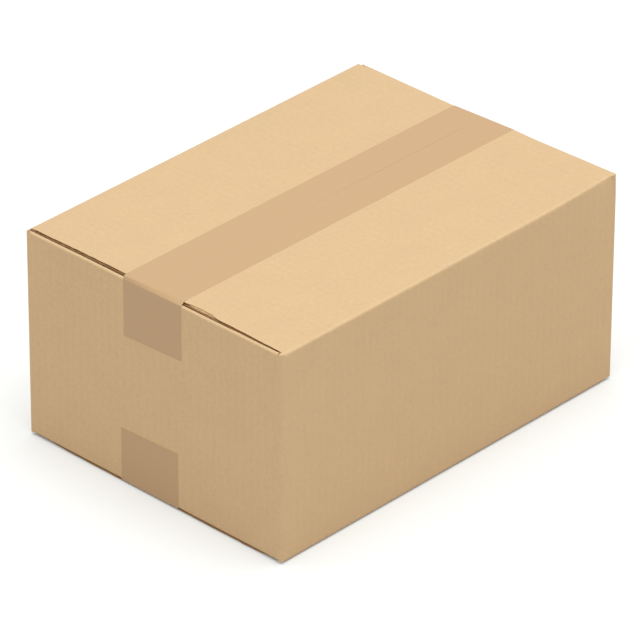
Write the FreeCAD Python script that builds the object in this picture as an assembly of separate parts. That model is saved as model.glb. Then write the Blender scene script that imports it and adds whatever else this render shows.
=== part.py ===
import FreeCAD, Part
import math
import os

# A slotted carton folded from one sheet of corrugated board and taped shut.
# Origin: middle of the underside. X runs along the carton, Y across it, Z up.
# All sizes are in millimetres.

# Space inside the closed carton, between the small flaps in height.
inner_length = 300.0
inner_width = 215.0
inner_height = 139.0

# Corrugated board: two liners with a fluted sheet between them.
board_thickness = 2.4
liner_thickness = 0.35
flute_mouth_depth = 3.0
flute_mouth_end_margin = 3.0

# Creases, measured on the outside and the inside of a fold.
fold_radius = 2.6
inner_fold_radius = 0.4

# The slots that part neighbouring flaps at each corner.
slot_width = 6.8

# The crease of a small flap stands up as a ridge beside the cut end of the big flaps.
ridge_depth = 1.3
ridge_width = 2.1
ridge_radius = 1.3
ridge_back_radius = 0.8

# Air between a small flap and the big flaps over it, and between the two big flaps.
flap_clearance = 0.4
seam_gap = 1.0

# Glued lap joint of the sheet, inside one hidden corner.
glue_tab_width = 35.0
glue_tab_taper = 8.0
glue_tab_end_gap = 6.0
cut_edge_setback = 0.5

# Packing tape over the top and bottom seams, with tabs down or up the end walls.
tape_width = 50.8
tape_thickness = 0.1
tape_lift = 0.1
tape_bend_radius = 0.8
top_tape_shift = -0.6
top_tape_tab = 40.5
bottom_tape_shift = 2.5
bottom_tape_tab = 41.0

# Outer sizes that follow from the values above.
outer_length = inner_length + 2 * board_thickness
outer_width = inner_width + 2 * board_thickness
outer_height = inner_height + 4 * board_thickness + 2 * flap_clearance
half_length = outer_length / 2
half_width = outer_width / 2
bottom = tape_thickness
top = bottom + outer_height
mid_height = (bottom + top) / 2
slot_setback = slot_width / 2
slot_end_depth = max(fold_radius, ridge_depth + ridge_radius)
flap_depth = half_width - seam_gap / 2
small_flap_top = top - board_thickness - flap_clearance

X = FreeCAD.Vector(1, 0, 0)
Y = FreeCAD.Vector(0, 1, 0)
Z = FreeCAD.Vector(0, 0, 1)

# A view names the two axes of a section and the axis that it is extruded along.
PLAN = (X, Y, Z)
SIDE = (X, Z, Y)
END = (Y, Z, X)


def corner_reaches(points, radii):
    """Length that each rounded corner takes from its two edges, cut back where an edge is short."""
    count = len(points)
    wanted = []
    for i in range(count):
        before = points[i - 1] - points[i]
        after = points[(i + 1) % count] - points[i]
        wanted.append(radii[i] / math.tan(before.getAngle(after) / 2))
    reaches = []
    for i in range(count):
        share = 1.0
        for j in (i - 1, (i + 1) % count):
            edge = (points[i] - points[j]).Length
            share = min(share, 0.98 * edge / max(wanted[i] + wanted[j], 1e-9))
        reaches.append(wanted[i] * share)
    return reaches


def rounded_outline(corners, view):
    """Closed wire through corners given as (across, up, radius) in a view."""
    across, up, along = view
    points = [across * a + up * b for a, b, radius in corners]
    reaches = corner_reaches(points, [radius for a, b, radius in corners])
    count = len(points)
    arcs = []
    for i in range(count):
        before = (points[i - 1] - points[i]).normalize()
        after = (points[(i + 1) % count] - points[i]).normalize()
        half_angle = before.getAngle(after) / 2
        bisector = (before + after).normalize()
        to_arc = reaches[i] / math.cos(half_angle) - reaches[i] * math.tan(half_angle)
        arcs.append((points[i] + before * reaches[i], points[i] + bisector * to_arc,
                     points[i] + after * reaches[i]))
    edges = []
    for i in range(count):
        start, middle, end = arcs[i]
        if reaches[i] > 0:
            edges.append(Part.Arc(start, middle, end).toShape())
        edges.append(Part.LineSegment(end, arcs[(i + 1) % count][0]).toShape())
    return Part.Wire(edges)


def prism(corners, view, low, high):
    """Solid with a rounded section in one view, from low to high along the view's third axis."""
    along = view[2]
    face = Part.Face(rounded_outline(corners, view))
    face.translate(along * low)
    return face.extrude(along * (high - low))


def shifted_path(path, distance):
    """Open path of (a, b) points moved to its left by a distance, with mitred corners."""
    points = [FreeCAD.Vector(a, b, 0) for a, b in path]
    normals = []
    for start, end in zip(points, points[1:]):
        direction = (end - start).normalize()
        normals.append(FreeCAD.Vector(-direction.y, direction.x, 0))
    moved = []
    for i, point in enumerate(points):
        before = normals[max(i - 1, 0)]
        after = normals[min(i, len(normals) - 1)]
        moved.append(point + (before + after) * (distance / (1 + before.dot(after))))
    return [(point.x, point.y) for point in moved]


def sheet_section(path, thickness, outer_radius, inner_radius):
    """Section of a bent sheet. The path is its outside, and the sheet lies to the path's left."""
    inside = shifted_path(path, thickness)
    last = len(path) - 1
    corners = []
    for i, (a, b) in enumerate(path):
        corners.append((a, b, outer_radius if 0 < i < last else 0))
    for i, (a, b) in reversed(list(enumerate(inside))):
        corners.append((a, b, inner_radius if 0 < i < last else 0))
    return corners


def mirrored(shape, axis, height=0.0):
    """Copy of a shape on the other side of the middle plane that the axis is normal to."""
    return shape.mirror(Z * height, axis)


def four_walls():
    """The sheet wrapped around the four walls, up to the ends of the slots."""
    low = bottom + slot_end_depth
    high = top - slot_end_depth
    tab_face = half_length - board_thickness
    tab_to_end_wall = [(tab_face, half_width - glue_tab_width), (tab_face, half_width),
                       (-half_length, half_width), (-half_length, 0)]
    end_wall_to_cut_edge = [(-half_length, 0), (-half_length, -half_width),
                            (half_length, -half_width),
                            (half_length, half_width - cut_edge_setback)]
    halves = []
    for path in (tab_to_end_wall, end_wall_to_cut_edge):
        section = sheet_section(path, board_thickness, fold_radius, inner_fold_radius)
        halves.append(prism(section, PLAN, low, high))
    top_waste = glue_tab_waste(high)
    bottom_waste = mirrored(top_waste, Z, mid_height)
    return halves[0].fuse(halves[1]).cut([top_waste, bottom_waste])


def glue_tab_waste(wall_end):
    """Wedge trimmed off the top of the glue tab, so that the tab clears the flaps."""
    outer = half_length - board_thickness
    inner = outer - board_thickness
    root = half_width - board_thickness
    tip = half_width - glue_tab_width
    root_end = wall_end - glue_tab_end_gap
    tip_end = root_end - glue_tab_taper
    corners = [(tip, wall_end, 0), (root, wall_end, 0), (root, root_end, 0), (tip, tip_end, 0)]
    return prism(corners, END, inner, outer)


def big_flap(low_end, high_end):
    """Top flap hinged on the +Y wall, between its two cut ends, with the wall above the slots."""
    wall_start = small_flap_top - 2 * board_thickness
    path = [(half_width, wall_start), (half_width, top), (half_width - flap_depth, top)]
    section = sheet_section(path, board_thickness, fold_radius, inner_fold_radius)
    flap = prism(section, END, low_end, high_end)
    low_mouth = flute_mouth(low_end, low_end + flute_mouth_depth)
    high_mouth = flute_mouth(high_end - flute_mouth_depth, high_end)
    return flap.cut([low_mouth, high_mouth])


def flute_mouth(low_x, high_x):
    """Open flute along a cut end of the +Y top flap, between the two liners."""
    low = top - board_thickness + liner_thickness
    high = top - liner_thickness
    seam_edge = half_width - flap_depth
    crease_side = half_width - board_thickness - flute_mouth_end_margin
    corners = [(seam_edge, low, 0), (crease_side, low, 0), (crease_side, high, 0), (seam_edge, high, 0)]
    return prism(corners, END, low_x, high_x)


def small_flap():
    """Top flap hinged on the +X wall. It dips from its crease to pass under the big flaps."""
    wall_start = small_flap_top - 2 * board_thickness
    underside = small_flap_top - board_thickness
    inner_wall = half_length - board_thickness
    free_end = half_length - flap_depth
    ridge_top = top - ridge_depth
    section = [(half_length, wall_start, 0), (half_length, ridge_top, ridge_radius),
               (half_length - ridge_width, ridge_top, ridge_back_radius),
               (half_length - slot_setback, small_flap_top, inner_fold_radius),
               (free_end, small_flap_top, 0), (free_end, underside, 0),
               (inner_wall, underside, inner_fold_radius), (inner_wall, wall_start, 0)]
    return prism(section, SIDE, slot_setback - half_width, half_width - slot_setback)


def carton():
    """The whole folded sheet: four walls, eight flaps and the glued lap joint."""
    slot_end = half_length - slot_setback
    lap_joint_end = half_length - board_thickness - fold_radius
    big_flap_at_joint = big_flap(-slot_end, lap_joint_end)
    other_big_flap = mirrored(big_flap(-slot_end, slot_end), Y)
    top_flaps = [big_flap_at_joint, other_big_flap, small_flap(), mirrored(small_flap(), X)]
    bottom_flaps = [mirrored(flap, Z, mid_height) for flap in top_flaps]
    return four_walls().multiFuse(top_flaps + bottom_flaps).removeSplitter()


def tape_bridge_drop():
    """Fall of the tape from the big flaps' cut end to the end wall, just clear of the ridge."""
    run = slot_setback - ridge_radius
    rise = ridge_depth + ridge_radius
    to_ridge = math.asin((ridge_radius + tape_lift) / math.hypot(run, rise))
    slope = math.atan2(rise, run) - to_ridge
    return slot_setback * math.tan(slope)


def tape(shift, tab):
    """Tape over the top seam: flat along the flaps, bridging to each end wall, then down it."""
    bridge_drop = tape_bridge_drop()
    flap_end = half_length - slot_setback
    path = [(half_length, top - tab), (half_length, top - bridge_drop), (flap_end, top),
            (-flap_end, top), (-half_length, top - bridge_drop), (-half_length, top - tab)]
    outside = shifted_path(path, -tape_thickness)
    corners = []
    for (a, b), radius in zip(path, (0, tape_bend_radius, 0, 0, tape_bend_radius, 0)):
        corners.append((a, b, radius))
    for (a, b), radius in reversed(list(zip(outside, (0, 1, 0, 0, 1, 0)))):
        corners.append((a, b, radius * (tape_bend_radius + tape_thickness)))
    return prism(corners, SIDE, shift - tape_width / 2, shift + tape_width / 2)


def save(name, shape):
    """One file for each piece of the carton."""
    shape.exportStep(os.path.join("parts", name + ".step"))
    print(name, "solids", len(shape.Solids), "valid", shape.isValid(), "volume", round(shape.Volume, 1))


os.makedirs("parts", exist_ok=True)
save("carton", carton())
save("top_tape", tape(top_tape_shift, top_tape_tab))
save("bottom_tape", mirrored(tape(bottom_tape_shift, bottom_tape_tab), Z, mid_height))
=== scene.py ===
import math

import bmesh
import bpy
from bpy.props import FloatProperty, FloatVectorProperty, PointerProperty
from bpy.types import Operator, Panel, PropertyGroup
from mathutils import Matrix, Vector, noise


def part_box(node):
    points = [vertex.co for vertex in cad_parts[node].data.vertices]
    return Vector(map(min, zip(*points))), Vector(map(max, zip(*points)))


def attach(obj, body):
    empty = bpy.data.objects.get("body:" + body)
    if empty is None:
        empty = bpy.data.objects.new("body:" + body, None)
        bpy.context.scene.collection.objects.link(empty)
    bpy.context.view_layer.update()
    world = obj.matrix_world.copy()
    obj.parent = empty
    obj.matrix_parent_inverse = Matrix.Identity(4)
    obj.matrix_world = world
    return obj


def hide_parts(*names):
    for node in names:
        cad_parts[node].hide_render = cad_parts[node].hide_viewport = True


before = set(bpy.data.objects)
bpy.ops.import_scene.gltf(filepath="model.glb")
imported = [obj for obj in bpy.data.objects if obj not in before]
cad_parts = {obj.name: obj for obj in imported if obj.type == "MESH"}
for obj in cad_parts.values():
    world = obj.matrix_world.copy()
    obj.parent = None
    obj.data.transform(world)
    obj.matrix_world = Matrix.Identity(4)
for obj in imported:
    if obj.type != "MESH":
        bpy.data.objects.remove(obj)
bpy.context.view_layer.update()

bl_info = {
    "name": "Closed cardboard box",
    "version": (1, 0, 0),
    "blender": (4, 5, 0),
    "location": "3D Viewport > Sidebar > Carton",
    "description": "Folds a slotted carton from one sheet of corrugated board and tapes it shut",
    "category": "Add Mesh",
}

MM = 0.001
UP = Vector((0, 0, 1))
OUTER, INNER = 0.0, 1.0
WALL, BIG_FLAP, SMALL_FLAP = 0, 1, 2


# Settings

class BoardSizes(PropertyGroup):
    """Sizes of the folded sheet that its outer box doesn't give."""

    thickness: FloatProperty(
        name="Board thickness", description="Liner to liner, through the flutes",
        default=2.4 * MM, min=1 * MM, unit="LENGTH")
    liner: FloatProperty(
        name="Liner thickness", description="Paper on each face of the board",
        default=0.35 * MM, min=0.1 * MM, unit="LENGTH")
    crease_radius: FloatProperty(
        name="Crease radius", description="Outside radius of a full fold",
        default=2.6 * MM, min=1 * MM, unit="LENGTH")
    slot_setback: FloatProperty(
        name="Slot setback", description="From the outer corner to the cut end of each flap",
        default=3.4 * MM, min=1 * MM, unit="LENGTH")
    ridge_radius: FloatProperty(
        name="Ridge radius", description="Outside radius of a small flap's crushed crease",
        default=1.3 * MM, min=0.5 * MM, unit="LENGTH")
    ridge_board: FloatProperty(
        name="Crushed thickness", description="Board left in a small flap's crease",
        default=1.2 * MM, min=0.3 * MM, unit="LENGTH")
    flap_clearance: FloatProperty(
        name="Flap clearance", description="Air between a small flap and the big flaps over it",
        default=0.4 * MM, min=0.0, unit="LENGTH")
    seam_gap: FloatProperty(
        name="Seam gap", description="Air between the two big flaps",
        default=1.0 * MM, min=0.2 * MM, unit="LENGTH")
    joint_width: FloatProperty(
        name="Lap joint width", description="Glued strip inside the hidden corner",
        default=35 * MM, min=10 * MM, unit="LENGTH")
    joint_end_gap: FloatProperty(
        name="Lap joint end gap", description="From the slot's end down to the glued strip",
        default=6 * MM, min=0.0, unit="LENGTH")
    joint_taper: FloatProperty(
        name="Lap joint taper", description="Further fall of the glued strip's end to its tip",
        default=8 * MM, min=0.0, unit="LENGTH")
    cut_edge_setback: FloatProperty(
        name="Cut edge setback", description="From the hidden corner back to the sheet's last edge",
        default=0.5 * MM, min=0.0, unit="LENGTH")
    flute_pitch: FloatProperty(
        name="Flute pitch", description="From one flute to the next",
        default=6.4 * MM, min=1 * MM, unit="LENGTH")
    mouth_depth: FloatProperty(
        name="Open flute depth", description="How far a flap's cut end can be seen into",
        default=2.4 * MM, min=0.2 * MM, unit="LENGTH")
    tatter: FloatProperty(
        name="Tatter", description="How far a cut liner strays from a straight line",
        default=0.22 * MM, min=0.0, unit="LENGTH")


class TapeSizes(PropertyGroup):
    """Sizes of the packing tape that its outer box doesn't give."""

    thickness: FloatProperty(
        name="Film thickness", description="Film and adhesive together",
        default=0.1 * MM, min=0.02 * MM, unit="LENGTH")
    seam_dip: FloatProperty(
        name="Seam dip", description="How far the tape sinks over the seam of the flaps",
        default=0.12 * MM, min=0.0, unit="LENGTH")


class BoardFinish(PropertyGroup):
    """Look of the kraft board."""

    liner_colour: FloatVectorProperty(
        name="Liner", description="Kraft liner of the outside and the inside",
        default=(0.696, 0.492, 0.275), min=0.0, max=1.0, size=3, subtype="COLOR")
    edge_colour: FloatVectorProperty(
        name="Cut edge", description="Paper where the board is cut",
        default=(0.50, 0.315, 0.165), min=0.0, max=1.0, size=3, subtype="COLOR")
    hollow_colour: FloatVectorProperty(
        name="Flute hollow", description="Inside of an open flute",
        default=(0.60, 0.385, 0.20), min=0.0, max=1.0, size=3, subtype="COLOR")
    fleck_colour: FloatVectorProperty(
        name="Fleck", description="Bark flecks in the pulp",
        default=(0.30, 0.18, 0.09), min=0.0, max=1.0, size=3, subtype="COLOR")
    mottle: FloatProperty(
        name="Mottle", description="Strength of the pulp's light and dark clouds",
        default=0.15, min=0.0, max=1.0, subtype="FACTOR")


class TapeFinish(PropertyGroup):
    """Look of the packing tape."""

    film_colour: FloatVectorProperty(
        name="Film", description="Buff film over kraft board",
        default=(0.580, 0.375, 0.192), min=0.0, max=1.0, size=3, subtype="COLOR")
    # Painted shade: the dark of the flaps' seam gap under the film, put into the film's colour.
    seam_shade_colour: FloatVectorProperty(
        name="Seam", description="Film where the flaps' seam shows through",
        default=(0.50, 0.32, 0.16), min=0.0, max=1.0, size=3, subtype="COLOR")


class StudioSettings(PropertyGroup):
    """Light and floor around the carton."""

    lamp_power: FloatProperty(
        name="Overhead lamp", description="Power of the soft lamp over the carton",
        default=37.3, min=0.0, unit="POWER")
    sky_strength: FloatProperty(
        name="Room light", description="Strength of the light from all around",
        default=0.647, min=0.0)
    floor_colour: FloatVectorProperty(
        name="Floor", description="Pale floor, as it lights the carton's sides",
        default=(0.80, 0.765, 0.73), min=0.0, max=1.0, size=3, subtype="COLOR")


# Sheet work

class Sheet:
    """A sheet under the folding tool. Each point keeps its place on the flat sheet and how far its paper is
    made lighter, for worn fibres and as a painted highlight.
    """

    def __init__(self):
        self.mesh = bmesh.new()
        self.flat = self.mesh.verts.layers.float_vector.new("flat")
        self.wear_and_highlight = self.mesh.verts.layers.float.new("wear_and_highlight")
        self.panel = self.mesh.verts.layers.int.new("panel")
        self.panel_now = WALL

    def start(self, outer, inner):
        """First cut edge, from the outer face of the sheet to the inner one."""
        ends = []
        for place, side in ((outer, OUTER), (inner, INNER)):
            vert = self.mesh.verts.new(place)
            vert[self.flat] = (0, 0, side)
            ends.append(vert)
        return [self.mesh.edges.new(ends)]

    def _lead(self, strip, made, travel, wear_and_highlight=0.0):
        """Clear the strip that was carried on, and note the length of sheet that was used."""
        kind = type(strip[0])
        if kind is bmesh.types.BMFace:
            bmesh.ops.delete(self.mesh, geom=strip, context="FACES_ONLY")
        for item in made:
            if isinstance(item, bmesh.types.BMVert):
                item[self.flat] = item[self.flat] + travel
                item[self.panel] = self.panel_now
                item[self.wear_and_highlight] = wear_and_highlight
        return [item for item in made if isinstance(item, kind)]

    def advance(self, strip, move, travel, inner_move=None):
        """Carry the leading edge or faces straight on."""
        if isinstance(strip[0], bmesh.types.BMEdge):
            made = bmesh.ops.extrude_edge_only(self.mesh, edges=strip)["geom"]
        else:
            made = bmesh.ops.extrude_face_region(self.mesh, geom=strip)["geom"]
        verts = [item for item in made if isinstance(item, bmesh.types.BMVert)]
        for side, vec in ((OUTER, move), (INNER, move if inner_move is None else inner_move)):
            some = [vert for vert in verts if round(vert[self.flat].z) == side]
            bmesh.ops.translate(self.mesh, verts=some, vec=vec)
        return self._lead(strip, made, travel)

    def run(self, strip, direction, steps, grain):
        """Carry the strip on by several steps. The grain is the way the steps go on the flat sheet."""
        for step in steps:
            strip = self.advance(strip, Vector(direction) * step, Vector(grain) * step)
        return strip

    def turn(self, strip, centre, axis, angle, steps, travel):
        """Bend the leading edge or faces around an axis. The paper of a bend is stretched and worn, and is
        made lighter, partly for that and partly as a painted highlight.
        """
        for i in range(steps):
            made = bmesh.ops.spin(
                self.mesh, geom=strip, cent=centre, axis=axis, angle=angle / steps, steps=1,
                space=Matrix.Identity(4))["geom_last"]
            strip = self._lead(strip, made, Vector(travel) / steps, 1.0 if i < steps - 1 else 0.0)
        return strip

    def clear_bare(self):
        """Take out the bare edges that extruding leaves inside the sheet."""
        bare = [edge for edge in self.mesh.edges if not edge.link_faces]
        bmesh.ops.delete(self.mesh, geom=bare, context="EDGES")

    def tidy(self):
        """Close the folded sheet and face it outwards."""
        self.clear_bare()
        bmesh.ops.remove_doubles(self.mesh, verts=self.mesh.verts, dist=1e-6)
        bmesh.ops.recalc_face_normals(self.mesh, faces=self.mesh.faces)


def even(length, longest):
    """Equal steps that add up to a length."""
    count = max(1, math.ceil(length / longest - 1e-6))
    return [length / count] * count


def graded(length, ends, longest):
    """Short steps beside both ends of a run, and equal ones between them."""
    return list(ends) + even(length - 2 * sum(ends), longest) + list(reversed(ends))


def spans(places):
    """Steps between neighbouring places along a line."""
    return [abs(b - a) for a, b in zip(places, places[1:])]


def wander(position, scale, seed):
    """Smooth random value from -1 to 1 along a cut."""
    place = Vector((position / scale, seed * 7.31, seed * 3.77))
    return max(-1.0, min(1.0, 1.6 * noise.noise(place)))


def ripple(position, scale, seed):
    """Rougher random value from -1 to 1 along a cut."""
    return 0.6 * wander(position, scale, seed) + 0.4 * wander(position, scale / 3, seed + 5)


def hump(position, centre, reach):
    """A rounded bump of height 1 about a place."""
    return max(0.0, 1 - ((position - centre) / reach) ** 2) ** 2


def finish_mesh(name, mesh, materials, sharp_angle=38):
    """Object at the origin from a finished bmesh."""
    limit = math.radians(sharp_angle)
    for face in mesh.faces:
        face.smooth = True
    for edge in mesh.edges:
        edge.smooth = edge.is_manifold and edge.calc_face_angle(0) < limit
    data = bpy.data.meshes.new(name)
    mesh.to_mesh(data)
    mesh.free()
    piece = bpy.data.objects.new(name, data)
    bpy.context.scene.collection.objects.link(piece)
    for material in materials:
        data.materials.append(material)
    return piece


# The carton

# What sets this one carton apart from the plan. Signs in brackets are those of x, y and z.
# How far each small flap's crease sits below the plan's, by end wall and by top or bottom.
CREASE_SINK = {(-1, 1): 0.0, (1, 1): 1.25 * MM, (-1, -1): 0.85 * MM, (1, -1): 0.3 * MM}
# How far the board stands above the slots' ends at each corner, in millimetres.
CORNER_RISE = {(-1, 1, 1): 0.7, (-1, -1, 1): 2.3, (1, -1, 1): 2.3, (1, 1, 1): -0.7, (-1, 1, -1): 0.7,
               (-1, -1, -1): 0.7, (1, -1, -1): 0.5}
# The lid is domed by this much, from one long crease to the other.
DOME_HEIGHT, DOME_REACH = 1.2 * MM, 106 * MM
# The flaps' seam lies this far off the middle.
SEAM_Y = 0.2 * MM
# Edges of the top tape and of the bottom tape on the near end wall.
TOP_TAPE_EDGES, BOTTOM_TAPE_EDGES = (-25.8 * MM, 25 * MM), (-20.8 * MM, 27 * MM)
# The near end's top liner is torn back about this place, over this reach.
TEAR = (-40 * MM, 15 * MM)
# Dents in the near end's other top liner: place, reach and depth, in millimetres.
DENTS = ((92, 9, 0.2), (79.8, 2.6, 0.5), (71.7, 2.2, 0.45), (57.4, 3.0, 0.5), (45.0, 7.0, 0.35),
         (29.0, 5.0, 0.55))


def share_of(value):
    """Keep a share between 0 and 1."""
    return max(0.0, min(1.0, value))


def dome(y):
    """How far the closed lid stands up at a place between its long creases."""
    return DOME_HEIGHT * max(0.0, 1 - (y / DOME_REACH) ** 2)


class CartonPlan:
    """Places that the folds and cuts of the carton share. Heights are from its middle."""

    def __init__(self, sizes):
        low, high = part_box("carton")
        self.half_length = high.x
        self.half_width = high.y
        self.half_height = (high.z - low.z) / 2
        self.middle = (high.z + low.z) / 2
        self.board = sizes.thickness
        self.radius = sizes.crease_radius
        self.slot_end = self.half_height - self.radius
        self.slot_x = self.half_length - sizes.slot_setback
        self.slot_y = self.half_width - sizes.slot_setback
        self.joint_face = self.half_length - self.board - 0.05 * MM
        self.joint_slot_x = self.joint_face - self.radius
        self.under_flap = self.half_height - self.board - sizes.flap_clearance
        self.seam = sizes.seam_gap / 2
        self.quarter = self.radius * math.pi / 2

    def cut_x(self, x, y):
        """Where the cut end of the big flap at that corner is, before it is worn."""
        return self.joint_slot_x if x > 0 and y > 0 else self.slot_x


def wrap_walls(sheet, plan, sizes):
    """Walk the sheet's section around the four walls at mid height, from the glued strip on."""
    along = (1, 0, 0)
    length, width, radius = plan.half_length, plan.half_width, plan.radius
    to_slot_x = length - radius - plan.slot_x
    to_slot_y = width - radius - plan.slot_y
    near_cut = (0.6 * MM, 1.2 * MM, 2.4 * MM, 4.8 * MM, 9 * MM)
    # The end walls are walked in shorter steps beside the tape's edges.
    beside_tape = (95, 84, 73, 62, 51, 40, 31, 27.4, 25.6, 24.4, 22, 11, 0,
                   -11, -22, -25.2, -26.4, -28, -31, -40, -51, -62, -73, -84, -95)
    places = [plan.slot_y] + [place * MM for place in beside_tape] + [-plan.slot_y]

    def corner(strip, x, y):
        return sheet.turn(strip, (x, y, 0), UP, math.pi / 2, 6, (plan.quarter, 0, 0))

    start_y = width - sizes.joint_width
    before = set(sheet.mesh.faces)
    strip = sheet.start((plan.joint_face, start_y, 0), (plan.joint_face - plan.board, start_y, 0))
    steps = even(sizes.joint_width - radius - 1 * MM, 9 * MM) + [1 * MM]
    strip = sheet.run(strip, (0, 1, 0), steps, along)
    strip = corner(strip, plan.joint_slot_x, width - radius)
    steps = graded(plan.joint_slot_x + plan.slot_x, near_cut, 20 * MM) + [to_slot_x]
    strip = sheet.run(strip, (-1, 0, 0), steps, along)
    strip = corner(strip, radius - length, width - radius)
    strip = sheet.run(strip, (0, -1, 0), [to_slot_y] + spans(places) + [to_slot_y], along)
    strip = corner(strip, radius - length, radius - width)
    steps = [to_slot_x] + graded(2 * plan.slot_x, near_cut, 20 * MM) + [to_slot_x]
    strip = sheet.run(strip, (1, 0, 0), steps, along)
    strip = corner(strip, length - radius, radius - width)
    last = width - sizes.cut_edge_setback - plan.slot_y
    sheet.run(strip, (0, 1, 0), [to_slot_y] + spans(places[::-1]) + [last], along)
    return [face for face in sheet.mesh.faces if face not in before]


def raise_walls(sheet, plan, sizes, footprint, level):
    """Stand the walls up to the slots' ends, and trim the glued strip so that it clears the flaps."""
    near_crease = [8 * MM, 2.5 * MM, 1 * MM, 0.6 * MM]
    steps = even(plan.slot_end - sum(near_crease), 11 * MM) + near_crease
    tops = sheet.run(footprint, UP * level, steps, (0, level, 0))
    root = plan.half_width - plan.radius
    tip = plan.half_width - sizes.joint_width
    for vert in sheet.mesh.verts:
        on_strip = plan.joint_face - plan.board - 1e-5 < vert.co.x < plan.joint_face + 1e-5
        if on_strip and vert.co.z * level > 0 and tip - 1e-5 < vert.co.y < root - 0.5 * MM:
            fall = sizes.joint_end_gap + sizes.joint_taper * (root - vert.co.y) / (root - tip)
            vert.co.z *= 1 - fall / plan.slot_end
            vert[sheet.flat].y = vert.co.z
    return tops


def fold_big_flap(sheet, plan, faces, side, level):
    """Fold a big flap over from its long wall to the seam."""
    sheet.panel_now = BIG_FLAP
    centre = (0, side * (plan.half_width - plan.radius), level * plan.slot_end)
    strip = sheet.turn(faces, centre, (1, 0, 0), level * side * math.pi / 2, 8, (0, level * plan.quarter, 0))
    reach = plan.half_width - plan.radius - plan.seam
    steps = [0.7 * MM] + even(reach - 1.4 * MM, 1.5 * MM) + [0.7 * MM]
    sheet.run(strip, (0, -side, 0), steps, (0, level, 0))


def fold_small_flap(sheet, plan, sizes, faces, side, level, sink):
    """Fold a small flap in under the big ones. Its crushed crease stands up as a ridge."""
    sheet.panel_now = SMALL_FLAP
    radius = sizes.ridge_radius
    wall = side * plan.half_length
    crease = plan.slot_end - sink
    verts = {vert for face in faces for vert in face.verts}
    inner = [vert for vert in verts if round(vert[sheet.flat].z) == INNER]
    bmesh.ops.translate(sheet.mesh, verts=inner, vec=(side * (plan.board - sizes.ridge_board), 0, 0))
    below = {edge.other_vert(vert) for vert in verts for edge in vert.link_edges}
    below = {vert for vert in below if abs(vert.co.z) < plan.slot_end - 1e-6}
    bmesh.ops.translate(sheet.mesh, verts=list(verts), vec=(0, 0, -level * sink))
    for vert in below:
        vert.co.z = level * min(abs(vert.co.z), crease - 0.25 * MM)
    bend = math.radians(130)
    strip = sheet.turn(faces, (wall - side * radius, 0, level * crease), (0, 1, 0), -level * side * bend, 7,
                       (0, level * radius * bend, 0))
    lean = Vector((math.sin(bend - math.pi / 2), math.cos(bend - math.pi / 2)))
    drop = plan.under_flap - crease
    outside = [Vector((radius, 0)) + lean * radius,
               Vector((sizes.slot_setback, drop)), Vector((sizes.slot_setback + 1 * MM, drop))]
    inside = [Vector((radius, 0)) + lean * (radius - sizes.ridge_board),
              Vector((sizes.slot_setback - 0.5 * MM, drop - 1.4 * MM)),
              Vector((sizes.slot_setback + 1 * MM, drop - plan.board))]
    for i in (1, 2):
        out_step, in_step = outside[i] - outside[i - 1], inside[i] - inside[i - 1]
        strip = sheet.advance(strip, Vector((-side * out_step.x, 0, level * out_step.y)),
                              Vector((0, level * out_step.length, 0)),
                              Vector((-side * in_step.x, 0, level * in_step.y)))
    depth = plan.half_width - plan.seam - outside[2].x
    sheet.run(strip, (-side, 0, 0), even(depth, 10 * MM), (0, level, 0))


def fold_flaps(sheet, plan, sizes, tops, level):
    """Part the walls' ends at the slots and fold the four flaps."""
    centres = [(face, face.calc_center_median()) for face in tops]
    wall_y = plan.half_width - plan.board
    wall_x = plan.half_length - plan.board
    at_joint = [f for f, c in centres if c.y > wall_y and -plan.slot_x < c.x < plan.joint_slot_x]
    facing = [f for f, c in centres if c.y < -wall_y and abs(c.x) < plan.slot_x]
    fold_big_flap(sheet, plan, at_joint, 1, level)
    fold_big_flap(sheet, plan, facing, -1, level)
    for side in (1, -1):
        faces = [f for f, c in centres if side * c.x > wall_x and abs(c.y) < plan.slot_y]
        fold_small_flap(sheet, plan, sizes, faces, side, level, CREASE_SINK[side, level])


def mark_cut_edges(sheet):
    """Cut edges run from one liner to the other, so their corners lie on both."""
    for face in sheet.mesh.faces:
        sides = {round(vert[sheet.flat].z) for vert in face.verts}
        face.material_index = 1 if len(sides) == 2 else 0


def open_flute(sheet, faces, liner, inward):
    """Sink the fluted middle of a cut end that runs along the flutes."""
    mesh = sheet.mesh
    bmesh.ops.inset_region(mesh, faces=faces, thickness=liner, depth=0, use_boundary=True,
                           use_even_offset=True)
    made = bmesh.ops.extrude_face_region(mesh, geom=faces)["geom"]
    floor = [item for item in made if isinstance(item, bmesh.types.BMFace)]
    verts = [item for item in made if isinstance(item, bmesh.types.BMVert)]
    bmesh.ops.translate(mesh, verts=verts, vec=inward)
    bmesh.ops.delete(mesh, geom=faces, context="FACES_ONLY")
    for vert in verts:
        for face in vert.link_faces:
            face.material_index = 2
    # The fluted sheet meets the opening somewhere on its slope, so the hollow's floor is uneven.
    short = {edge for face in floor for edge in face.edges
             if abs((edge.verts[0].co - edge.verts[1].co).normalized().dot(UP)) > 0.9}
    rear = verts[0].co.x
    bmesh.ops.subdivide_edges(mesh, edges=list(short), cuts=3, use_grid_fill=True)
    return [vert for vert in mesh.verts if abs(vert.co.x - rear) < 1e-6
            and any(face.material_index == 2 for face in vert.link_faces)]


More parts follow.
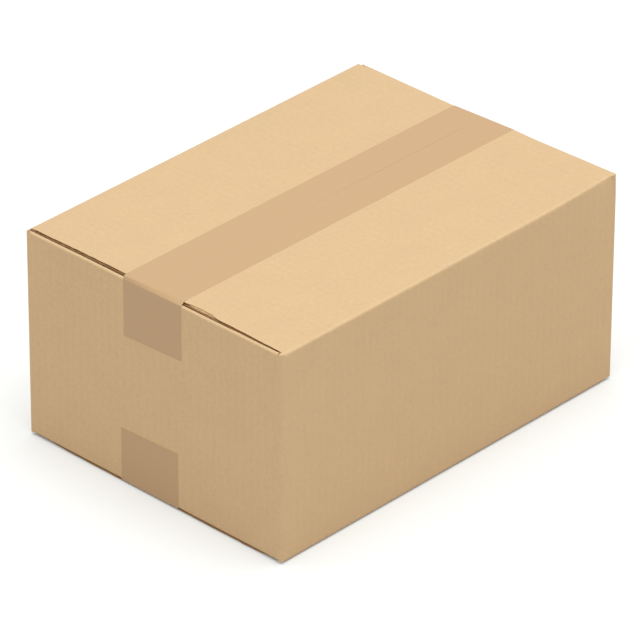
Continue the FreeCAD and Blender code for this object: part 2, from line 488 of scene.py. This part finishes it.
def open_flap_ends(sheet, plan, sizes):
    """Open the flutes along both cut ends of all four big flaps."""
    stop = plan.half_width - plan.board - 3 * MM
    for end in (-1, 1):
        for flap in (-1, 1):
            for level in (-1, 1):
                seed = 1 + (end + 1) * 2 + (flap + 1) + (level + 1) / 2
                faces = []
                for face in sheet.mesh.faces:
                    centre = face.calc_center_median()
                    if (face.material_index == 1 and face.normal.x * end > 0.9
                            and centre.z * level > plan.slot_end and 0 < centre.y * flap < stop
                            and abs(centre.x - end * plan.cut_x(end, flap)) < 1e-4):
                        faces.append(face)
                depth = sizes.mouth_depth * (0.65 if level > 0 else 1.3)
                rear = open_flute(sheet, faces, sizes.liner, (-end * depth, 0, 0))
                low = plan.half_height - plan.board
                for vert in rear:
                    if vert.co.y * flap < 0 or vert.co.z * level < 0:
                        continue
                    rise = abs(vert.co.z) - low
                    if 0.5 * MM < rise < 1.9 * MM:
                        vert.co.x += end * (0.25 + 0.25 * wander(vert.co.y, 18 * MM, seed)) * depth
                    torn = hump(vert.co.y, *TEAR) if (end, flap, level) == (-1, -1, 1) else 0.0
                    if torn and rise > 1.3 * MM:
                        rough = (0.15 + 0.3 * ripple(vert.co.y, 5 * MM, 21)) * MM
                        vert.co.x += min(1.0, 3 * torn) * (abs(rough) - plan.slot_x - vert.co.x)
                        if rise < 1.9 * MM:
                            vert.co.z -= torn * (0.25 * MM + rough)


def place_flap_ends(sheet, plan):
    """Set each cut end where this carton has it: a little askew, and further out under the near end."""
    reach = 26 * MM
    for vert in sheet.mesh.verts:
        if vert[sheet.panel] != BIG_FLAP:
            continue
        x, y, z = vert.co
        back = plan.cut_x(x, y) - abs(x)
        if back > reach:
            continue
        if x > 0:
            if z < 0:
                shift = 0.0
            elif y > 0:
                shift = -0.7 * MM
            else:
                shift = min(-0.9 * MM - 0.06 * y, 0.5 * MM) + 0.035 * max(0.0, -y - 45 * MM)
        elif z > 0:
            # Closed against the end wall's corner in front.
            shift = -1.1 * MM * share_of((-106.8 * MM - y) / (0.8 * MM))
        else:
            # Furthest out between the tape and the corners.
            right, left = BOTTOM_TAPE_EDGES
            corner = (108 * MM - y) / (28 * MM) if y > 0 else (108 * MM + y) / (22 * MM)
            beside = (y - left) / MM if y > 0 else (right - y) / MM
            shift = -2.6 * MM * share_of(corner) * share_of(beside)
        ease = 1 - max(0.0, back) / reach
        climb = min(1.0, (abs(z) - plan.slot_end) / plan.radius)
        vert.co.x += shift * ease * ease * (3 - 2 * ease) * climb


def pressed(a, b, radius, power):
    """How far out a point of a round bend moves when the bend is pressed nearer to a sharp corner."""
    size = (abs(a) ** power + abs(b) ** power) ** (1 / power)
    return radius / size if size > 1e-9 else 1.0


def press_creases(sheet, plan):
    """Sharpen the outside of the upright folds and of the lid's long ones, which were scored."""
    radius = plan.radius
    for vert in sheet.mesh.verts:
        if round(vert[sheet.flat].z) != OUTER:
            continue
        x, y, z = vert.co
        deep_x, deep_y = abs(x) - plan.half_length + radius, abs(y) - plan.half_width + radius
        deep_z = abs(z) - plan.half_height + radius
        if vert[sheet.panel] == BIG_FLAP and z > 0 and deep_y > 1e-6 and deep_z > 1e-6:
            power = 6.0 if y < 0 else 2.0 + 0.7 * max(0.0, x) / plan.half_length
            grow = pressed(deep_y, deep_z, radius, power)
            vert.co.y += math.copysign(deep_y * (grow - 1), y)
            vert.co.z += deep_z * (grow - 1)
        elif vert[sheet.panel] == WALL and deep_x > 1e-6 and deep_y > 1e-6 and not (x > 0 and y > 0):
            grow = pressed(deep_x, deep_y, radius, 3.4)
            vert.co.x += math.copysign(deep_x * (grow - 1), x)
            vert.co.y += math.copysign(deep_y * (grow - 1), y)


def settle_creases(sheet, plan):
    """Let the long folds droop on top, and lift the one in front off the floor."""
    for vert in sheet.mesh.verts:
        x, y, z = vert.co
        deep_z = abs(z) - plan.slot_end
        if vert[sheet.panel] != BIG_FLAP or deep_z < 1e-6 or (z < 0 and y > 0):
            continue
        along = (x + plan.half_length) / (2 * plan.half_length)
        if z < 0:
            fall, reach = 0.6 + 0.5 * along, 12 * MM
        elif y > 0:
            fall, reach = 1.0 - 0.7 * along, 9 * MM
        else:
            fall, reach = max(0.0, min(0.85 - 0.9 * along, 4 * (0.55 - along))), 7 * MM
        near = share_of(1 - (plan.half_width - abs(y)) / reach)
        vert.co.z -= math.copysign(fall * MM * near * near * min(1.0, deep_z / plan.radius), z)


def fill_corners(sheet, plan):
    """The board fills the slots in part. At the far right corner it is bent up and in."""
    for vert in sheet.mesh.verts:
        x, y, z = vert.co
        corner = (round(math.copysign(1, x)), round(math.copysign(1, y)), round(math.copysign(1, z)))
        ring = (vert[sheet.panel] == WALL and abs(z) > plan.slot_end - 1e-5
                and abs(x) > plan.slot_x + 1e-5 and abs(y) > plan.slot_y + 1e-5)
        if ring:
            vert.co.z += corner[2] * CORNER_RISE.get(corner, 0.0) * MM
            if corner[1:] == (-1, 1) and round(vert[sheet.flat].z) == INNER:
                vert.co.z += 0.2 * MM
        elif corner == (1, -1, 1) and vert[sheet.panel] == BIG_FLAP:
            # The flap's end there doesn't reach past the rounded wall under it.
            deep_x, deep_y = x - plan.half_length + plan.radius, -y - plan.half_width + plan.radius
            if deep_x > 0 and deep_y > 0:
                vert.co.y -= deep_y * (min(1.0, pressed(deep_x, deep_y, plan.radius, 3.4)) - 1)
    for face in sheet.mesh.faces:
        centre = face.calc_center_median()
        ring_top = centre.y < -plan.slot_y and abs(centre.x) > plan.slot_x and face.normal.z > 0.5
        flap_end = centre.y < -105.3 * MM and centre.x < 0 and abs(face.normal.x) > 0.7
        if face.material_index == 1 and centre.z > plan.slot_end and (ring_top or flap_end):
            face.material_index = 0
    for vert in sheet.mesh.verts:
        x, y, z = vert.co
        on_top = share_of((z - plan.half_height + 12 * MM) / (10 * MM))
        away = math.hypot(x - plan.half_length, y + plan.half_width)
        vert.co.z += 1.1 * MM * on_top * max(0.0, 1 - away / (72 * MM)) ** 1.2
        along = max(0.0, 1 - (plan.half_length - x) / (66 * MM)) ** 1.4
        across = max(0.0, 1 - (y + plan.half_width) / (14 * MM))
        if abs(x) < plan.slot_x + 4 * MM:
            vert.co.y += 1.5 * MM * on_top * along * across * (1.0 if x < plan.slot_x + 1e-5 else 0.3)


def ridge_rise(y):
    """How much higher the near small flap's crease stands than the plan's."""
    right, left = TOP_TAPE_EDGES
    if right < y < left:
        return 0.3 * MM + 0.5 * MM * (left - y) / (51 * MM)
    if y > 0:
        return 0.42 * MM - 0.36 * MM * max(0.0, (y - 60 * MM) / (45 * MM))
    return 0.85 * MM + 0.15 * MM * min(1.0, (-y - 26 * MM) / (60 * MM))


def shape_ridge(sheet, plan):
    """Let the near end's crease stand as high as it does on this carton."""
    height = 3 * MM
    foot = plan.slot_end - height
    behind = plan.board + 0.1 * MM - plan.half_length
    for vert in sheet.mesh.verts:
        x, y, z = vert.co
        if x > behind or z < foot or abs(y) > plan.slot_y + 1e-5 or vert[sheet.panel] == BIG_FLAP:
            continue
        wave = 0.12 * MM * wander(y, 16 * MM, 9) if abs(y) > 27 * MM else 0.0
        vert.co.z += (ridge_rise(y) + wave) * min(1.0, (z - foot) / height)


def set_seam(sheet, plan, dip):
    """Raise the lid's dome, shift its seam a little, and ease the flaps' edges down under the tape."""
    for vert in sheet.mesh.verts:
        y, z = vert.co.yz
        if vert[sheet.panel] != BIG_FLAP or z < 0:
            continue
        vert.co.y += SEAM_Y * max(0.0, 1 - abs(y) / (22 * MM))
        if z > plan.half_height - 0.1 * MM:
            vert.co.z -= (dip + 0.06 * MM) * hump(vert.co.y, SEAM_Y, 3.0 * MM)
        vert.co.z += dome(y)


def fray_flap_ends(sheet, plan, sizes):
    """Let the cut liners of the big flaps stray a little, more where the near end is worn."""
    reach = 3.2 * MM
    worn = plan.half_width - plan.radius
    for vert in sheet.mesh.verts:
        x, y, z = vert.co
        if vert[sheet.panel] != BIG_FLAP or abs(y) > worn:
            continue
        end, level, flap = math.copysign(1, x), math.copysign(1, z), math.copysign(1, y)
        back = plan.cut_x(x, y) - abs(x)
        if back < -1e-4 or back > reach:
            continue
        if end > 0 and level > 0 and flap < 0:
            continue
        fade = max(0.0, 1 - back / reach) ** 1.5
        fade *= min(1.0, (worn - abs(y)) / (5 * MM))
        upper = abs(z) > plan.half_height - plan.board / 2
        seed = 11 + end * 2 + flap * 3 + level * 5 + (0 if upper else 0.5)
        stray = sizes.tatter * ripple(y, 9 * MM, seed)
        sag = sizes.tatter * (1.3 + 0.7 * ripple(y, 14 * MM, seed + 3))
        if upper and end < 0 and level > 0:
            if flap > 0:
                for centre, span, depth in DENTS:
                    bite = depth * MM * hump(y, centre * MM, span * MM)
                    sag += bite
                    stray -= 0.7 * bite
            else:
                torn = min(1.0, 1.7 * hump(y, *TEAR)) if abs(z) > plan.half_height - 0.5 * MM else 0.0
                stray -= torn * (1.2 + 0.5 * ripple(y, 5 * MM, 3)) * MM
                sag -= 0.15 * MM * torn
        vert.co.x += end * stray * fade
        if upper:
            vert.co.z -= level * sag * fade
            # Lighter liner along the cut: partly wear, partly a painted highlight.
            vert[sheet.wear_and_highlight] = max(vert[sheet.wear_and_highlight], 0.9 * fade)
        else:
            vert.co.z += level * 0.6 * sizes.tatter * fade


def build_carton(sizes, tape_sizes, materials):
    plan = CartonPlan(sizes)
    sheet = Sheet()
    for level in (1, -1):
        sheet.panel_now = WALL
        footprint = wrap_walls(sheet, plan, sizes)
        tops = raise_walls(sheet, plan, sizes, footprint, level)
        fold_flaps(sheet, plan, sizes, tops, level)
    sheet.tidy()
    mark_cut_edges(sheet)
    open_flap_ends(sheet, plan, sizes)
    sheet.clear_bare()
    fray_flap_ends(sheet, plan, sizes)
    press_creases(sheet, plan)
    settle_creases(sheet, plan)
    place_flap_ends(sheet, plan)
    set_seam(sheet, plan, tape_sizes.seam_dip)
    shape_ridge(sheet, plan)
    fill_corners(sheet, plan)
    bmesh.ops.translate(sheet.mesh, verts=sheet.mesh.verts, vec=(0, 0, plan.middle))
    bmesh.ops.recalc_face_normals(sheet.mesh, faces=sheet.mesh.faces)
    sheet.mesh.verts.layers.int.remove(sheet.panel)
    return finish_mesh("carton_board", sheet.mesh, materials, 55)


# The tape

# How deep and how high the top tape's bend is at both ends, before it gets its own shape.
KNEE = 2.2 * MM


def wrap_end(sheet, strip, side, level, lid, end_x, tab_end, knee_x, slope, soft, radius, rising):
    """Walk the tape between its tab on an end wall and the lid, up when rising and else down."""
    along = (1, 0, 0)
    into_x = end_x - radius
    touch_x = into_x + radius * math.sin(slope)
    centre_z = lid - level * ((touch_x - knee_x) * math.tan(slope) + radius * math.cos(slope))
    bend = math.pi / 2 - slope
    fillet = soft * math.tan(slope / 2)
    straight = (touch_x - knee_x) / math.cos(slope) - fillet
    tab = abs(centre_z - tab_end)
    wall_steps = [0.8 * MM] + even(tab - 2.4 * MM, 6 * MM) + [1.6 * MM]
    climb = Vector((-side * math.cos(slope), 0, level * math.sin(slope)))
    wall_bend = ((side * into_x, 0, centre_z), (0, 1, 0), level * bend, 5, (radius * bend, 0, 0))
    lid_bend = ((side * (knee_x - fillet), 0, lid - level * soft), (0, 1, 0), level * slope, 4,
                (soft * slope, 0, 0))
    if rising:
        strip = sheet.run(strip, UP * level, wall_steps, along)
        strip = sheet.turn(strip, *wall_bend)
        strip = sheet.run(strip, climb, even(straight, 1 * MM), along)
        return sheet.turn(strip, *lid_bend)
    strip = sheet.turn(strip, *lid_bend)
    strip = sheet.run(strip, -climb, even(straight, 1 * MM), along)
    strip = sheet.turn(strip, *wall_bend)
    return sheet.run(strip, -UP * level, list(reversed(wall_steps)), along)


def bridge_end(vert, end_x, lid, high_y, low_y):
    """Set the bend between lid and wall, which isn't the same along the tape's width.

    It is walked with a knee as deep as it is high. Here the knee gets its own depth and height, and
    the tape its own place on the wall, all from the wall's plane and the flat lid's height."""
    x, y, z = vert.co
    share = (high_y - y) / (high_y - low_y)
    near = x < 0
    if near:
        deep, rise, touch = 0.9 + 2.3 * share, 0.72 + 0.36 * share, 1.3 - 0.8 * share
    else:
        deep, rise, touch = 5.6 - 2.85 * share, dome(y) / MM, 2.9 - 1.0 * share
    deep, rise, touch = deep * MM, rise * MM, touch * MM
    fade = 14 * MM
    depth, drop = end_x - abs(x), lid - z
    if depth > fade or drop > fade:
        if drop < 1 * MM:
            vert.co.z += dome(y)
        return
    if depth < KNEE:
        depth *= deep / KNEE
    else:
        depth = deep + (depth - KNEE) * (fade - deep) / (fade - KNEE)
    if drop > KNEE:
        height = -touch - (drop - KNEE) * (fade - touch) / (fade - KNEE)
    else:
        on_lid = share_of((depth - deep) / (3.5 * MM - deep)) if near else 1.0
        crest = rise + (dome(y) - rise) * on_lid
        height = crest - drop * (crest + touch) / KNEE
    vert.co.x = math.copysign(end_x - depth, x)
    vert.co.z = lid + height


def build_tape(name, node, sizes, material, level):
    """Film stuck up one end wall, over the flaps and down the other. Level is 1 on top, -1 below."""
    low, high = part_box(node)
    film = sizes.thickness
    end_x = high.x - film
    lid = high.z - film if level > 0 else low.z + film
    tab_end = low.z if level > 0 else high.z
    if level > 0:
        knee_x, slope, soft, radius = end_x - KNEE, math.radians(45), 0.8 * MM, 0.8 * MM
    else:
        knee_x, slope, soft, radius = 148.7 * MM, math.radians(24), 5 * MM, 1.3 * MM
    flat_end = knee_x - soft * math.tan(slope / 2)
    ends = (level, lid, end_x, tab_end, knee_x, slope, soft, radius)

    sheet = Sheet()
    mesh = sheet.mesh
    seam = SEAM_Y if level > 0 else 0.0
    across = [low.y, low.y + 0.8 * MM, -14 * MM, -7 * MM]
    across += [seam + d * MM for d in (-3, -2, -1.3, -0.7, -0.3, 0, 0.3, 0.7, 1.3, 2, 3)]
    across += [7 * MM, 14 * MM, high.y - 0.8 * MM, high.y]
    verts = [mesh.verts.new((-end_x, y, tab_end)) for y in across]
    for vert in verts:
        vert[sheet.flat] = (0, vert.co.y, 0)
    strip = [mesh.edges.new(pair) for pair in zip(verts, verts[1:])]
    strip = wrap_end(sheet, strip, -1, *ends, True)
    steps = graded(2 * flat_end, (0.8 * MM, 1.2 * MM, 3 * MM), 6 * MM)
    strip = sheet.run(strip, (1, 0, 0), steps, (1, 0, 0))
    wrap_end(sheet, strip, 1, *ends, False)

    middle_y = (low.y + high.y) / 2
    for vert in mesh.verts:
        x, y, z = vert.co
        if abs(z - lid) < 1e-5 and abs(x) < flat_end:
            inset = min(1.0, (flat_end - abs(x)) / (30 * MM))
            sink = sizes.seam_dip * hump(y, seam, 1.6 * MM)
            vert.co.z -= level * sink * inset * (0.75 + 0.25 * wander(x, 40 * MM, 4))
        if level > 0:
            bridge_end(vert, end_x, lid, high.y, low.y)
        # Torn off a little askew at both tabs, and run slightly off line along the lid.
        past = max(0.0, 1 - abs(z - tab_end) / (30 * MM)) if abs(x) > end_x - 0.2 * MM else 0.0
        lean = 1.1 if level > 0 else 0.9
        vert.co.z -= lean * MM * past * (y - middle_y) / (high.y - middle_y)
        if level > 0:
            on_tab = share_of((4 * MM - end_x - x) / (4 * MM))
            vert.co.y += (middle_y - y) * (0.04 - 0.02 * on_tab) + 0.6 * MM * (1 - on_tab)
        elif x < 0:
            vert.co.y += 1.3 * MM * (high.y - y) / (high.y - low.y) * -x / end_x
    bmesh.ops.recalc_face_normals(mesh, faces=mesh.faces)
    middle = min(mesh.faces, key=lambda face: face.calc_center_median().to_2d().length)
    if middle.normal.z * level < 0:
        bmesh.ops.reverse_faces(mesh, faces=mesh.faces)
    bmesh.ops.solidify(mesh, geom=mesh.faces[:], thickness=-film)
    bmesh.ops.recalc_face_normals(mesh, faces=mesh.faces)
    mesh.verts.layers.int.remove(sheet.panel)
    return finish_mesh(name, mesh, [material])


# Finishes

class Nodes:
    """Small helper that adds and joins the nodes of one material or world."""

    def __init__(self, tree):
        self.nodes = tree.nodes
        self.links = tree.links

    def add(self, kind, inputs=None, **settings):
        node = self.nodes.new(kind)
        for key, value in settings.items():
            setattr(node, key, value)
        for key, value in (inputs or {}).items():
            if isinstance(value, bpy.types.NodeSocket):
                self.links.new(value, node.inputs[key])
            else:
                node.inputs[key].default_value = value
        return node

    def noise(self, place, scale, detail, roughness=0.6):
        """Clouds that vary about 0.5."""
        node = self.add("ShaderNodeTexNoise",
                        {"Vector": place, "Scale": scale, "Detail": detail, "Roughness": roughness})
        return node.outputs["Fac"]

    def attribute(self, name, output="Vector"):
        return self.add("ShaderNodeAttribute", attribute_name=name).outputs[output]

    def place(self):
        return self.add("ShaderNodeTexCoord").outputs["Object"]

    def axes(self, vector):
        return self.add("ShaderNodeSeparateXYZ", {0: vector}).outputs

    def stretched(self, place, scale):
        return self.add("ShaderNodeMapping", {"Vector": place, "Scale": scale}).outputs["Vector"]

    def math(self, operation, first, second=0.0, third=0.0):
        return self.add("ShaderNodeMath", {0: first, 1: second, 2: third}, operation=operation).outputs[0]

    def off(self, value, centre):
        return self.math("ABSOLUTE", self.math("SUBTRACT", value, centre))

    def flutes(self, along, pitch):
        """Wave from -1 to 1, one for each flute."""
        return self.math("SINE", self.math("MULTIPLY", along, 2 * math.pi / pitch))

    def vary(self, tone, value, swing, middle=0.5):
        """Tone that swings with a value about its middle."""
        return self.math("MULTIPLY", tone, self.math("MULTIPLY_ADD", value, swing, 1 - swing * middle))

    def between(self, value, low, high, out_low=0.0, out_high=1.0):
        node = self.add("ShaderNodeMapRange", {"Value": value, "From Min": low, "From Max": high,
                                               "To Min": out_low, "To Max": out_high})
        return node.outputs["Result"]

    def mix(self, amount, first, second, blend="MIX"):
        node = self.add("ShaderNodeMix", {"Factor": amount}, data_type="RGBA", blend_type=blend)
        for socket, value in ((node.inputs[6], first), (node.inputs[7], second)):
            if isinstance(value, bpy.types.NodeSocket):
                self.links.new(value, socket)
            else:
                socket.default_value = tuple(value)[:3] + (1.0,)
        return node.outputs[2]

    def shade(self, colour, tone):
        """Colour made lighter or darker by a tone about 1."""
        grey = self.add("ShaderNodeCombineColor", {0: tone, 1: tone, 2: tone}).outputs[0]
        return self.mix(1.0, colour, grey, "MULTIPLY")

    def seen(self):
        """1 for what the camera sees, straight or in gloss, and 0 for what lights the carton."""
        path = self.add("ShaderNodeLightPath").outputs
        indirect = self.math("MAXIMUM", path["Is Glossy Ray"], path["Is Transmission Ray"])
        return self.math("MAXIMUM", path["Is Camera Ray"], indirect)


class Finish(Nodes):
    """One material."""

    def __init__(self, name):
        self.material = bpy.data.materials.new(name)
        self.material.use_nodes = True
        super().__init__(self.material.node_tree)
        self.shader = self.nodes["Principled BSDF"]

    def bump(self, height, distance):
        node = self.add("ShaderNodeBump", {"Height": height, "Distance": distance})
        self.links.new(node.outputs["Normal"], self.shader.inputs["Normal"])

    def set(self, **values):
        for key, value in values.items():
            socket = self.shader.inputs[key.replace("_", " ")]
            if isinstance(value, bpy.types.NodeSocket):
                self.links.new(value, socket)
            else:
                socket.default_value = value


def kraft_liner(look, sizes):
    """Unbleached liner: pulp clouds, short fibres, rare bark flecks, and the flutes' faint stripes as a bump
    and as painted shade.
    """
    paper = Finish("kraft_liner")
    flat = paper.attribute("flat")
    clouds = paper.noise(flat, 42, 3, 0.5)
    pulp = paper.noise(flat, 330, 5, 0.65)
    fibres = paper.noise(paper.stretched(flat, (500, 1500, 1)), 1, 3, 0.6)
    stripe = paper.flutes(paper.axes(flat)[0], sizes.flute_pitch)
    tone = 1.0
    for value, swing in ((clouds, 0.5), (pulp, 1.2), (fibres, 0.9)):
        tone = paper.vary(tone, value, look.mottle * swing)
    # Painted shade of the flutes' washboard: the stripes make the tone a little darker and lighter.
    tone = paper.vary(tone, stripe, 0.006, 0.0)
    # Bends and cut liners made lighter: partly wear, partly a painted highlight where they catch the light.
    tone = paper.vary(tone, paper.attribute("wear_and_highlight", "Fac"), 0.045, 0.0)
    colour = paper.shade(look.liner_colour, tone)
    flecks = paper.between(paper.noise(flat, 620, 2, 0.5), 0.735, 0.78, 0.0, 0.45)
    colour = paper.mix(flecks, colour, look.fleck_colour)
    height = paper.math("ADD", paper.math("MULTIPLY", pulp, 0.6), paper.math("MULTIPLY", fibres, 0.4))
    height = paper.math("MULTIPLY_ADD", stripe, 0.25, height)
    paper.bump(height, 0.05 * MM)
    paper.set(Base_Color=colour, Roughness=0.86, IOR=1.4)
    return paper.material


def cut_edge(look, sizes):
    """Sawn-through board: two liners with the wave of the fluted sheet between them."""
    edge = Finish("cut_edge")
    flat = edge.attribute("flat")
    along, _, depth = edge.axes(flat)
    wave = edge.flutes(along, sizes.flute_pitch)
    off_sheet = edge.off(depth, edge.math("MULTIPLY_ADD", wave, 0.35, 0.5))
    off_face = edge.math("MINIMUM", depth, edge.math("SUBTRACT", 1.0, depth))
    paper = edge.math("MAXIMUM", edge.between(off_sheet, 0.07, 0.13, 1.0, 0.0),
                      edge.between(off_face, 0.12, 0.18, 1.0, 0.0))
    fuzz = edge.noise(flat, 900, 4, 0.7)
    light = edge.shade(look.edge_colour, edge.math("MULTIPLY_ADD", fuzz, 0.5, 0.75))
    edge.set(Base_Color=edge.mix(paper, look.hollow_colour, light), Roughness=0.95, IOR=1.35)
    edge.bump(edge.math("ADD", fuzz, paper), 0.12 * MM)
    return edge.material


def flute_hollow(look):
    """Bare fluted sheet inside an open flute."""
    hollow = Finish("flute_hollow")
    fuzz = hollow.noise(hollow.place(), 700, 4, 0.7)
    tone = hollow.math("MULTIPLY_ADD", fuzz, 0.7, 0.65)
    hollow.set(Base_Color=hollow.shade(look.hollow_colour, tone), Roughness=0.95, IOR=1.35)
    hollow.bump(fuzz, 0.1 * MM)
    return hollow.material


def tape_film(look, sizes):
    """Buff film, pressed on so that the board's grain shows through faintly. The shade of the flaps' seam
    gap under it, and the shade of its tabs on the end walls, are painted in.
    """
    film = Finish("buff_film")
    flat = film.attribute("flat")
    place = film.place()
    x, y, _ = film.axes(place)
    streaks = film.noise(film.stretched(flat, (6, 900, 1)), 1, 2, 0.5)
    grain = film.noise(flat, 380, 3, 0.6)
    tone = film.vary(film.vary(1.0, streaks, 0.012), grain, 0.016)
    colour = film.shade(look.film_colour, tone)
    # Painted shade: on the tabs down the end walls the film is made a little darker and less warm than on
    # the lid.
    tab = film.between(film.math("ABSOLUTE", x), 0.1512, 0.1522)
    colour = film.mix(tab, colour, film.mix(1.0, colour, (0.937, 0.957, 1.0), "MULTIPLY"))
    # Painted shade of the seam's gap under the film, along part of the lid's length and in patches.
    seam = film.between(film.off(y, SEAM_Y), 0.3 * MM, 0.7 * MM, 1.0, 0.0)
    inboard = film.between(film.off(x, 0.064), 0.032, 0.092, 1.0, 0.0)
    patchy = film.between(film.noise(film.stretched(place, (14, 0, 0)), 1, 2, 0.5), 0.3, 0.6, 0.35, 1.0)
    show = film.math("MULTIPLY", film.math("MULTIPLY", seam, inboard), patchy)
    colour = film.mix(show, colour, look.seam_shade_colour)
    ghost = film.flutes(x, sizes.flute_pitch)
    height = film.math("MULTIPLY_ADD", ghost, 0.15, film.math("MULTIPLY", grain, 0.5))
    film.bump(height, 0.03 * MM)
    film.set(Base_Color=colour, Roughness=0.5, IOR=1.45)
    return film.material


def pale_floor(colour):
    """Floor that the camera sees as white, with the carton's faint shadow on it."""
    floor = Finish("pale_floor")
    away = floor.add("ShaderNodeVectorMath", {0: floor.place()}, operation="LENGTH").outputs["Value"]
    # Painted shadow: under the carton and close to it the floor's colour is darker, so it throws back less
    # light onto the carton.
    floor_painted_shadow = floor.shade(colour, floor.between(away, 0.10, 0.45, 0.89, 1.0))
    matt = floor.add("ShaderNodeBsdfDiffuse", {"Color": floor_painted_shadow})
    bright = floor.add("ShaderNodeBsdfDiffuse", {"Color": (0.73, 0.745, 0.75, 1.0)})
    # No glow where the carton all but covers the floor, so that it keeps a dark line at its foot.
    covered = floor.add("ShaderNodeAmbientOcclusion", {"Distance": 8 * MM}, samples=8)
    uncovered = floor.between(covered.outputs["AO"], 0.12, 0.38)
    glow = floor.add("ShaderNodeEmission", {"Color": (0.95, 1.0, 1.0, 1.0),
                                            "Strength": floor.math("MULTIPLY", uncovered, 0.30)})
    white = floor.add("ShaderNodeAddShader", {0: bright.outputs[0], 1: glow.outputs[0]})
    both = floor.add("ShaderNodeMixShader", {0: floor.seen(), 1: matt.outputs[0], 2: white.outputs[0]})
    out = floor.nodes["Material Output"]
    floor.links.new(both.outputs[0], out.inputs["Surface"])
    floor.nodes.remove(floor.shader)
    return floor.material


# Operators

class CARTON_OT_fold_board(Operator):
    """Fold the carton from its sheet of board"""

    bl_idname = "carton.fold_board"
    bl_label = "Fold board"

    def execute(self, context):
        scene = context.scene
        sizes, look = scene.board_sizes, scene.board_finish
        materials = [kraft_liner(look, sizes), cut_edge(look, sizes), flute_hollow(look)]
        piece = build_carton(sizes, scene.tape_sizes, materials)
        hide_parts("carton")
        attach(piece, "root")
        return {"FINISHED"}


class CARTON_OT_tape_shut(Operator):
    """Tape the top and bottom seams shut"""

    bl_idname = "carton.tape_shut"
    bl_label = "Tape shut"

    def execute(self, context):
        scene = context.scene
        film = tape_film(scene.tape_finish, scene.board_sizes)
        for node, level in (("top_tape", 1), ("bottom_tape", -1)):
            piece = build_tape(node + "_film", node, scene.tape_sizes, film, level)
            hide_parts(node)
            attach(piece, "root")
        return {"FINISHED"}


class CARTON_OT_set_studio(Operator):
    """Set up the floor, the soft light and the camera"""

    bl_idname = "carton.set_studio"
    bl_label = "Set studio"

    def execute(self, context):
        scene = context.scene
        studio = scene.studio_settings
        scene.view_settings.view_transform = "Standard"

        mesh = bmesh.new()
        bmesh.ops.create_grid(mesh, x_segments=1, y_segments=1, size=20)
        floor = finish_mesh("floor", mesh, [pale_floor(studio.floor_colour)])

        world = bpy.data.worlds.new("studio")
        scene.world = world
        world.use_nodes = True
        sky = Nodes(world.node_tree)
        room = sky.nodes["Background"]
        room.inputs["Color"].default_value = (1.0, 0.995, 0.99, 1.0)
        room.inputs["Strength"].default_value = studio.sky_strength
        white = sky.add("ShaderNodeBackground", {"Color": (1, 1, 1, 1)})
        pick = sky.add("ShaderNodeMixShader", {0: sky.seen(), 1: room.outputs[0], 2: white.outputs[0]})
        sky.links.new(pick.outputs[0], sky.nodes["World Output"].inputs["Surface"])

        lamp = bpy.data.lights.new("overhead", "AREA")
        lamp.shape = "DISK"
        lamp.size = 2.25
        lamp.energy = studio.lamp_power
        overhead = bpy.data.objects.new("overhead", lamp)
        overhead.location = (-0.12, -0.38, 2.6)
        scene.collection.objects.link(overhead)

        # Place, direction and focal length are fitted to the nine edges that the photo shows.
        lens = bpy.data.cameras.new("camera")
        lens.lens = 343.6
        lens.sensor_width = 36
        lens.clip_start = 0.1
        lens.clip_end = 200
        camera = bpy.data.objects.new("camera", lens)
        forward = Vector((0.62348, 0.59061, -0.51229)).normalized()
        right = forward.cross(UP).normalized()
        roll = Matrix.Rotation(math.radians(-0.253), 3, forward)
        right = roll @ right
        above = right.cross(forward)
        turn = Matrix((right, above, -forward)).transposed()
        camera.matrix_world = Matrix.Translation((-2.4047, -2.2751, 2.0382)) @ turn.to_4x4()
        scene.collection.objects.link(camera)
        scene.camera = camera
        return {"FINISHED"}


class CARTON_PT_panel(Panel):
    """Settings and steps of the carton"""

    bl_idname = "CARTON_PT_panel"
    bl_label = "Closed cardboard box"
    bl_space_type = "VIEW_3D"
    bl_region_type = "UI"
    bl_category = "Carton"

    def draw(self, context):
        layout = self.layout
        scene = context.scene
        steps = ((CARTON_OT_fold_board, (scene.board_sizes, scene.board_finish)),
                 (CARTON_OT_tape_shut, (scene.tape_sizes, scene.tape_finish)),
                 (CARTON_OT_set_studio, (scene.studio_settings,)))
        for step, groups in steps:
            box = layout.box()
            for group in groups:
                for name in group.__annotations__:
                    box.prop(group, name)
            box.operator(step.bl_idname)


GROUPS = {"board_sizes": BoardSizes, "tape_sizes": TapeSizes, "board_finish": BoardFinish,
          "tape_finish": TapeFinish, "studio_settings": StudioSettings}
CLASSES = (*GROUPS.values(), CARTON_OT_fold_board, CARTON_OT_tape_shut, CARTON_OT_set_studio,
           CARTON_PT_panel)


def register():
    for cls in CLASSES:
        bpy.utils.register_class(cls)
    for name, group in GROUPS.items():
        setattr(bpy.types.Scene, name, PointerProperty(type=group))


def unregister():
    for name in GROUPS:
        delattr(bpy.types.Scene, name)
    for cls in reversed(CLASSES):
        bpy.utils.unregister_class(cls)


def main():
    register()
    bpy.ops.carton.fold_board()
    bpy.ops.carton.tape_shut()
    bpy.ops.carton.set_studio()


if __name__ == "__main__":
    main()
